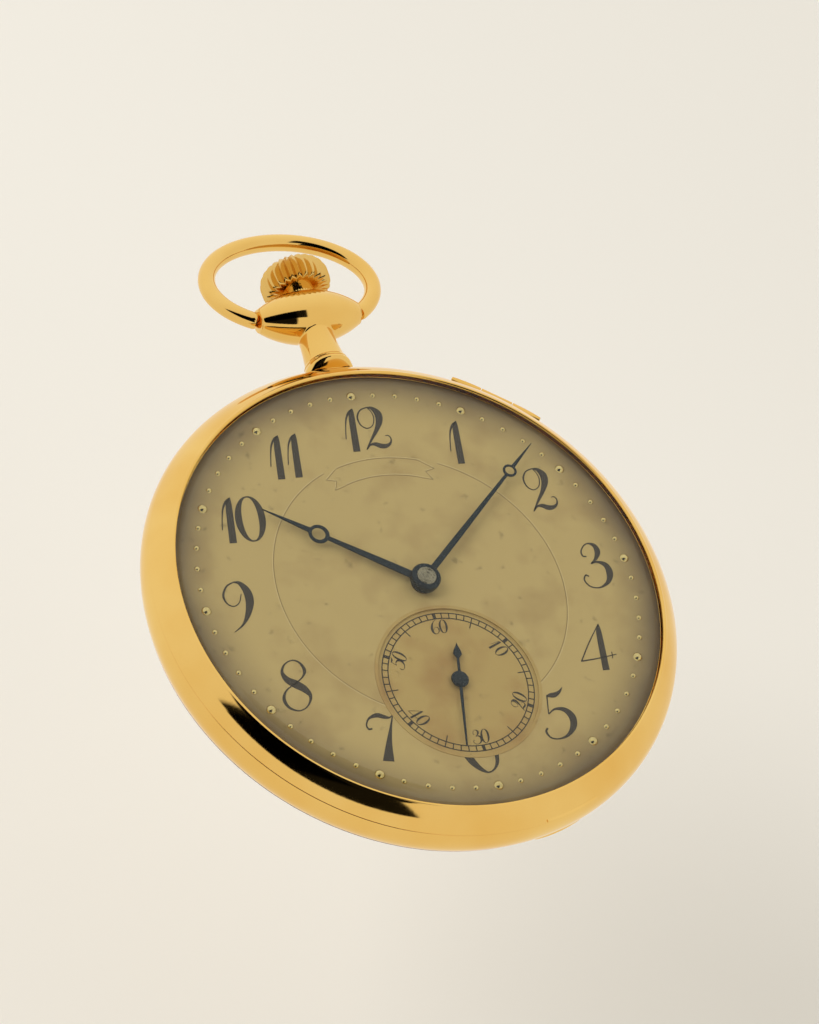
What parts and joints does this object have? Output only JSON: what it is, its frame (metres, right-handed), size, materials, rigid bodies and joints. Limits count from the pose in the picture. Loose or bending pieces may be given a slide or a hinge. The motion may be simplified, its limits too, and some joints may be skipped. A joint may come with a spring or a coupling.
{
  "type": "open face pocket watch",
  "caption": "Open face pocket watch with a round gilt case, hinged bezel and back, fluted crown, oval bow, Arabic numerals, small seconds and a complete wound movement.",
  "frame": {"origin": "centre of the flat on the back cover, on the axis of the hour and minute hands", "axes": "+Y towards 12 o'clock and the pendant, +X towards 3 o'clock, +Z out of the dial; the watch lies on its back"},
  "size_m": [0.049, 0.0669, 0.0124],
  "materials": {
    "case_gold": "polished gold",
    "dial_gilt": "frosted gilt, aged",
    "gilt_pearl": "polished pale gilt",
    "blued_steel": "blued",
    "steel": "polished",
    "plate_brass": "gilt, matt",
    "ruby": "polished",
    "crystal_glass": "polished"
  },
  "bodies": {
    "case_and_movement": {"case_band": "case_gold", "pendant": "case_gold", "pendant_tube": "steel", "hinge_pins": "steel", "mainplate": "plate_brass", "dial": "dial_gilt", "seconds_dial": "dial_gilt", "minute_pearls": "gilt_pearl", "barrel_bridge": "plate_brass", "train_bridge": "plate_brass", "balance_cock": "plate_brass", "regulator": "steel", "pallet_cock": "plate_brass", "jewels": "ruby", "bridge_screws": "steel", "case_screws": "steel", "crown_wheel_core": "steel", "click_spring": "steel"},
    "bezel": {"bezel": "case_gold", "crystal": "crystal_glass"},
    "back_cover": {"back_cover": "case_gold"},
    "dust_cover": {"dust_cover": "case_gold"},
    "bow": {"bow": "case_gold"},
    "winding_pinion": {"winding_pinion": "steel"},
    "stem_and_crown": {"winding_stem": "steel", "crown": "case_gold"},
    "sliding_clutch": {"sliding_clutch": "steel"},
    "crown_wheel": {"crown_wheel": "steel"},
    "barrel_arbor": {"barrel_arbor": "steel", "ratchet_wheel": "steel", "ratchet_screw": "steel"},
    "click": {"click": "steel"},
    "setting_lever": {"setting_lever": "steel"},
    "yoke": {"yoke": "steel"},
    "barrel": {"barrel_drum": "plate_brass", "barrel_cover": "plate_brass", "mainspring": "steel"},
    "centre_wheel": {"centre_wheel": "plate_brass"},
    "third_wheel": {"third_wheel": "plate_brass"},
    "fourth_wheel": {"fourth_wheel": "plate_brass", "seconds_hand": "blued_steel"},
    "escape_wheel": {"escape_wheel": "steel"},
    "pallet_fork": {"pallet_fork": "steel", "pallet_jewels": "ruby"},
    "balance": {"balance_wheel": "plate_brass", "balance_staff": "steel", "roller": "steel", "hairspring": "blued_steel"},
    "minute_group": {"cannon_pinion": "steel", "minute_hand": "blued_steel"},
    "hour_group": {"hour_wheel": "plate_brass", "hour_hand": "blued_steel"},
    "minute_wheel": {"minute_wheel": "plate_brass"},
    "setting_wheel": {"setting_wheel": "plate_brass"}
  },
  "joints": [
    {"name": "bezel_hinge", "type": "hinge", "parent": "case_and_movement", "child": "bezel", "pos_m": [0.01446, 0.01884, 0.00875], "axis": [-0.7934, 0.6088, 0], "range_deg": [0, 95]},
    {"name": "back_hinge", "type": "hinge", "parent": "case_and_movement", "child": "back_cover", "pos_m": [0.01446, 0.01884, 0.00605], "axis": [0.7934, -0.6088, 0], "range_deg": [0, 110]},
    {"name": "dust_cover_hinge", "type": "hinge", "parent": "case_and_movement", "child": "dust_cover", "pos_m": [0.01446, 0.01884, 0.00605], "axis": [0.7934, -0.6088, 0], "range_deg": [0, 88]},
    {"name": "bow_swing", "type": "hinge", "parent": "case_and_movement", "child": "bow", "pos_m": [0, 0.031, 0.0074], "axis": [1, 0, 0], "range_deg": [-78, 82]},
    {"name": "crown_spin", "type": "hinge", "parent": "case_and_movement", "child": "winding_pinion", "pos_m": [0, 0.01789, 0.0074], "axis": [0, 1, 0], "continuous": true},
    {"name": "crown_pull", "type": "slide", "parent": "winding_pinion", "child": "stem_and_crown", "axis": [0, 1, 0], "range_m": [0, 0.001]},
    {"name": "clutch_shift", "type": "slide", "parent": "winding_pinion", "child": "sliding_clutch", "axis": [0, 1, 0], "range_m": [-0.0009, 0]},
    {"name": "setting_lever_turn", "type": "hinge", "parent": "case_and_movement", "child": "setting_lever", "pos_m": [-0.004, 0.0197, 0.0087], "axis": [0, 0, 1], "range_deg": [0, 14.3]},
    {"name": "yoke_turn", "type": "hinge", "parent": "case_and_movement", "child": "yoke", "pos_m": [0.0042, 0.01499, 0.0087], "axis": [0, 0, 1], "range_deg": [0, 12.3]},
    {"name": "crown_wheel_spin", "type": "hinge", "parent": "case_and_movement", "child": "crown_wheel", "pos_m": [0, 0.01338, 0.00405], "axis": [0, 0, 1], "continuous": true},
    {"name": "ratchet_spin", "type": "hinge", "parent": "case_and_movement", "child": "barrel_arbor", "pos_m": [0.00814, 0.00509, 0.00405], "axis": [0, 0, 1], "continuous": true},
    {"name": "click_lift", "type": "hinge", "parent": "case_and_movement", "child": "click", "pos_m": [-0.0002, 0.00465, 0.00405], "axis": [0, 0, 1], "range_deg": [0, 9], "stiffness_Nm_per_rad": 0.00002, "springref_deg": -5.73},
    {"name": "fourth_spin", "type": "hinge", "parent": "case_and_movement", "child": "fourth_wheel", "pos_m": [0, -0.0099, 0.0061], "axis": [0, 0, 1], "continuous": true},
    {"name": "third_spin", "type": "hinge", "parent": "case_and_movement", "child": "third_wheel", "pos_m": [-0.00493, -0.00585, 0.0066], "axis": [0, 0, 1], "continuous": true},
    {"name": "centre_spin", "type": "hinge", "parent": "case_and_movement", "child": "centre_wheel", "pos_m": [0, 0, 0.0055], "axis": [0, 0, 1], "continuous": true},
    {"name": "barrel_spin", "type": "hinge", "parent": "case_and_movement", "child": "barrel", "pos_m": [0.00814, 0.00509, 0.0062], "axis": [0, 0, 1], "continuous": true},
    {"name": "escape_spin", "type": "hinge", "parent": "case_and_movement", "child": "escape_wheel", "pos_m": [0.00273, -0.01468, 0.0067], "axis": [0, 0, 1], "continuous": true},
    {"name": "pallet_rock", "type": "hinge", "parent": "case_and_movement", "child": "pallet_fork", "pos_m": [0.00515, -0.01299, 0.0067], "axis": [0, 0, 1], "range_deg": [-5, 5]},
    {"name": "balance_swing", "type": "hinge", "parent": "case_and_movement", "child": "balance", "pos_m": [0.0086, -0.0106, 0.0054], "axis": [0, 0, 1], "range_deg": [-135, 135], "stiffness_Nm_per_rad": 0.000001},
    {"name": "minute_spin", "type": "hinge", "parent": "case_and_movement", "child": "minute_group", "pos_m": [0, 0, 0.0085], "axis": [0, 0, 1], "continuous": true},
    {"name": "hour_spin", "type": "hinge", "parent": "case_and_movement", "child": "hour_group", "pos_m": [0, 0, 0.0089], "axis": [0, 0, 1], "continuous": true},
    {"name": "minute_wheel_spin", "type": "hinge", "parent": "case_and_movement", "child": "minute_wheel", "pos_m": [0, 0.0036, 0.0085], "axis": [0, 0, 1], "continuous": true},
    {"name": "setting_wheel_spin", "type": "hinge", "parent": "case_and_movement", "child": "setting_wheel", "pos_m": [0, 0.0096, 0.0085], "axis": [0, 0, 1], "continuous": true}
  ],
  "couplings": [
    {"joint": "dust_cover_hinge", "follows": "back_hinge", "ratio": 0.8},
    {"joint": "clutch_shift", "follows": "crown_pull", "ratio": -0.9},
    {"joint": "setting_lever_turn", "follows": "crown_pull", "rad_per_m": 248.71},
    {"joint": "yoke_turn", "follows": "crown_pull", "rad_per_m": 213.47},
    {"joint": "crown_wheel_spin", "follows": "crown_spin", "ratio": 0.36111},
    {"joint": "ratchet_spin", "follows": "crown_spin", "ratio": -0.2608},
    {"joint": "third_spin", "follows": "fourth_spin", "ratio": -0.13333},
    {"joint": "centre_spin", "follows": "fourth_spin", "ratio": 0.016667},
    {"joint": "barrel_spin", "follows": "fourth_spin", "ratio": -0.002381},
    {"joint": "escape_spin", "follows": "fourth_spin", "ratio": -10},
    {"joint": "minute_wheel_spin", "follows": "minute_spin", "ratio": -0.33333},
    {"joint": "hour_spin", "follows": "minute_spin", "ratio": 0.083333},
    {"joint": "setting_wheel_spin", "follows": "minute_spin", "ratio": 0.27273}
  ]
}
